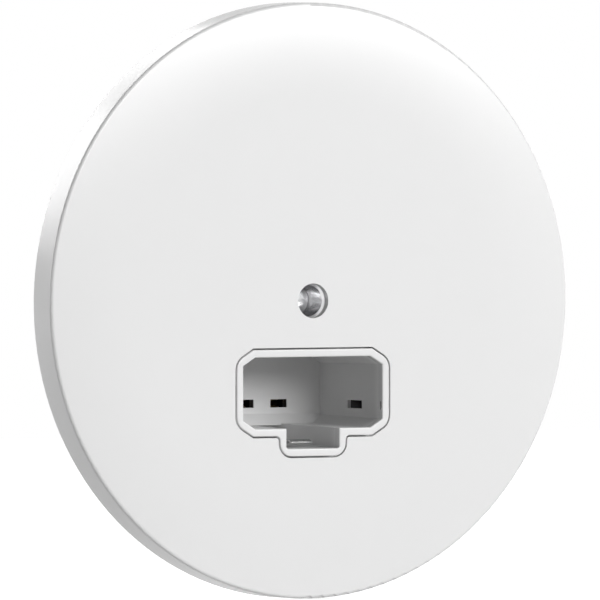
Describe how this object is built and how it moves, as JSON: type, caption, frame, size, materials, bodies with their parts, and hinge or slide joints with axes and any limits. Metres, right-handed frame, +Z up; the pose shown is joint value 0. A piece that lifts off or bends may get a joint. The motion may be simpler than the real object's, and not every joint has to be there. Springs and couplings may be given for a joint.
{
  "type": "recessed ceiling light connector",
  "caption": "Round domed ceiling cover with a keyed plug socket, push-in terminals behind it and a threaded bush for the hook of a lamp.",
  "frame": {"origin": "on the axis of the hook thread, in the plane where the cover's rim meets the ceiling", "axes": "-Y out of the front face, along the axis of the hook thread; +Y into the ceiling; +Z up in the front view, away from the plug socket; +X to the right in the front view"},
  "size_m": [0.12, 0.0476, 0.12],
  "materials": {
    "cover_plastic": "satin moulded",
    "shell_plastic": "smooth moulded",
    "frame_plastic": "fine matt",
    "housing_plastic": "fine matt",
    "cap_plastic": "fine matt",
    "button_plastic": "fine matt",
    "zinc_steel": "zinc plated",
    "bush_steel": "turned, nickel plated",
    "contact_brass": "stamped",
    "spring_steel": "bright rolled strip"
  },
  "bodies": {
    "outlet": {"cover_plate": "cover_plastic", "mounting_frame": "frame_plastic", "hook_bridge": "zinc_steel", "hook_bush": "bush_steel", "bush_washer": "zinc_steel", "bush_nut": "zinc_steel", "bridge_screws": "zinc_steel", "socket_shell": "shell_plastic", "left_catch_spring": "spring_steel", "right_catch_spring": "spring_steel", "terminal_housing": "housing_plastic", "rear_cap": "cap_plastic", "live_contact": "contact_brass", "neutral_contact": "contact_brass", "earth_contact": "contact_brass", "live_clamp_spring": "spring_steel", "neutral_clamp_spring": "spring_steel", "earth_clamp_spring": "spring_steel"},
    "latch": {"latch_spring": "spring_steel"},
    "live_button": {"live_release_button": "button_plastic"},
    "neutral_button": {"neutral_release_button": "button_plastic"},
    "earth_button": {"earth_release_button": "button_plastic"}
  },
  "joints": [
    {"name": "latch_press", "type": "hinge", "parent": "outlet", "child": "latch", "pos_m": [0, 0.00985, -0.02939], "axis": [1, 0, 0], "range_deg": [0, 3], "stiffness_Nm_per_rad": 0.02},
    {"name": "live_button_press", "type": "slide", "parent": "outlet", "child": "live_button", "axis": [0, -1, 0], "range_m": [0, 0.0018], "stiffness_N_per_m": 2000},
    {"name": "neutral_button_press", "type": "slide", "parent": "outlet", "child": "neutral_button", "axis": [0, -1, 0], "range_m": [0, 0.0018], "stiffness_N_per_m": 2000},
    {"name": "earth_button_press", "type": "slide", "parent": "outlet", "child": "earth_button", "axis": [0, -1, 0], "range_m": [0, 0.0018], "stiffness_N_per_m": 2000}
  ]
}
